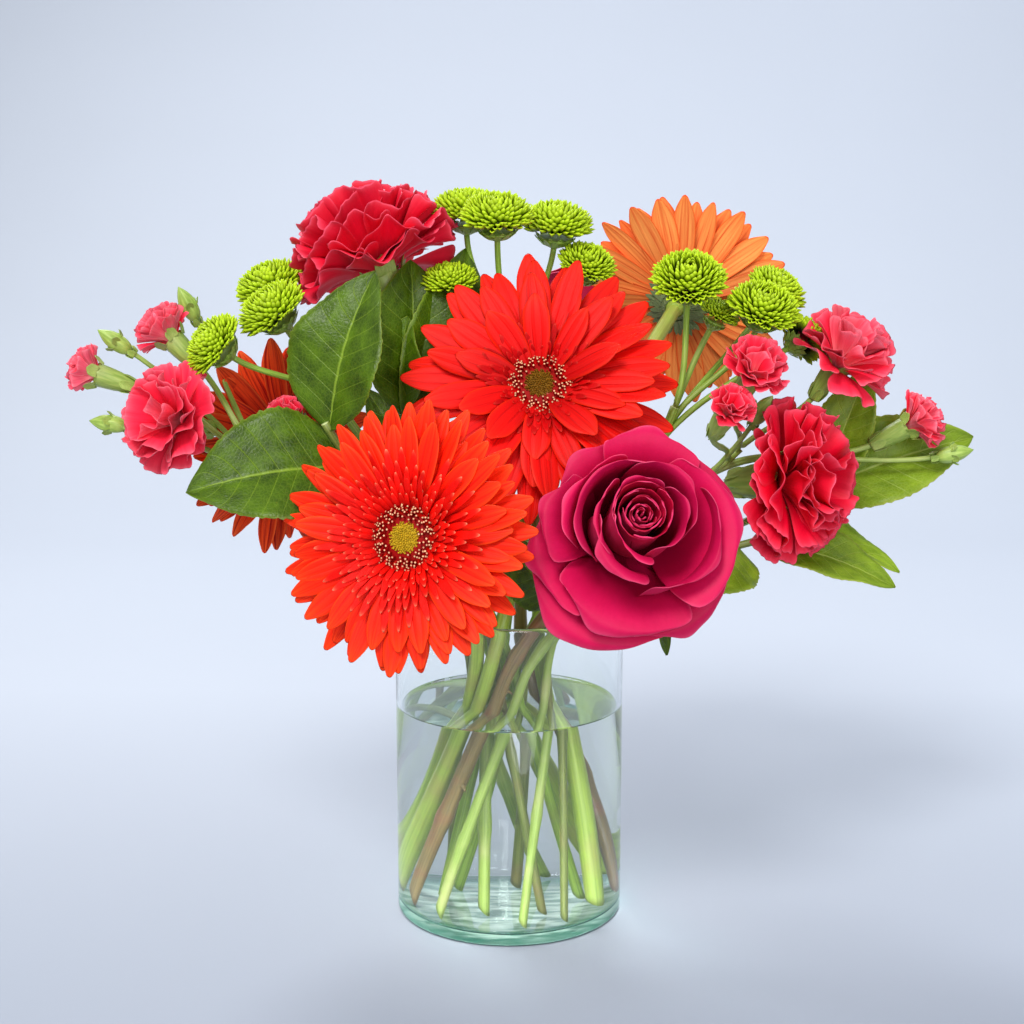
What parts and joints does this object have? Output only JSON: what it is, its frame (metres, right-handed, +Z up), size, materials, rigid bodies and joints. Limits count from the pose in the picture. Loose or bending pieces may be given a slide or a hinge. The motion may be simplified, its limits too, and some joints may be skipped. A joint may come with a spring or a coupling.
{
  "type": "mixed bouquet with gerberas in a glass vase",
  "caption": "Bouquet of red and orange gerberas, pink roses, carnations, lime button mums and leaves, standing in a clear glass cylinder vase of water.",
  "frame": {"origin": "centre of the vase's foot, on the surface that it stands on", "axes": "+Z up along the vase's axis; the bouquet's front looks along -Y; +X is to the viewer's right"},
  "size_m": [0.409, 0.2368, 0.3251],
  "materials": {
    "glass": "clear, slightly green at its thick base",
    "water": "clear water",
    "petals_orange_red": "satin petals, lighter orange edges",
    "petals_red": "satin petals",
    "petals_salmon": "matte petal backs, orange edges",
    "petals_rust": "matte petal backs with lengthwise stripes",
    "eye": "matte, speckled",
    "rose": "velvety petals",
    "carnation": "satin petals, paler edges",
    "spray_carnation": "satin petals, paler backs",
    "pompon": "matte lime florets",
    "stem": "satin green stems",
    "leaf": "glossy dark green leaves",
    "leaf_light": "satin light green leaves"
  },
  "bodies": {
    "root": {"gerbera_low_rays": "petals_orange_red", "gerbera_low_eye": "eye", "gerbera_low_stem": "stem", "gerbera_high_rays": "petals_red", "gerbera_high_eye": "eye", "gerbera_high_stem": "stem", "gerbera_back_rays": "petals_salmon", "gerbera_back_eye": "eye", "gerbera_back_stem": "stem", "gerbera_left_rays": "petals_rust", "gerbera_left_eye": "eye", "gerbera_left_stem": "stem", "rose_front_bloom": "rose", "rose_front_stem": "stem", "rose_back_bloom": "rose", "rose_back_stem": "stem", "carnation_left_bloom": "carnation", "carnation_left_stem": "stem", "carnation_right_bloom": "carnation", "carnation_right_stem": "stem", "spray_carnation_left_bloom_1": "spray_carnation", "spray_carnation_left_bloom_2": "spray_carnation", "spray_carnation_left_bloom_3": "spray_carnation", "spray_carnation_left_bloom_4": "spray_carnation", "spray_carnation_left_stem": "stem", "spray_carnation_right_bloom_1": "spray_carnation", "spray_carnation_right_bloom_2": "spray_carnation", "spray_carnation_right_bloom_3": "spray_carnation", "spray_carnation_right_bloom_4": "spray_carnation", "spray_carnation_right_stem": "stem", "pompon_centre_head_1": "pompon", "pompon_centre_head_2": "pompon", "pompon_centre_head_3": "pompon", "pompon_centre_head_4": "pompon", "pompon_centre_head_5": "pompon", "pompon_centre_stem": "stem", "pompon_right_head_1": "pompon", "pompon_right_head_2": "pompon", "pompon_right_head_3": "pompon", "pompon_right_head_4": "pompon", "pompon_right_head_5": "pompon", "pompon_right_stem": "stem", "pompon_left_head_1": "pompon", "pompon_left_head_2": "pompon", "pompon_left_head_3": "pompon", "pompon_left_stem": "stem", "leafy_stem_left": "leaf", "leafy_stem_middle": "leaf", "leafy_stem_right": "leaf_light", "leafy_stem_front": "leaf_light", "vase": "glass", "water": "water"}
  },
  "joints": []
}
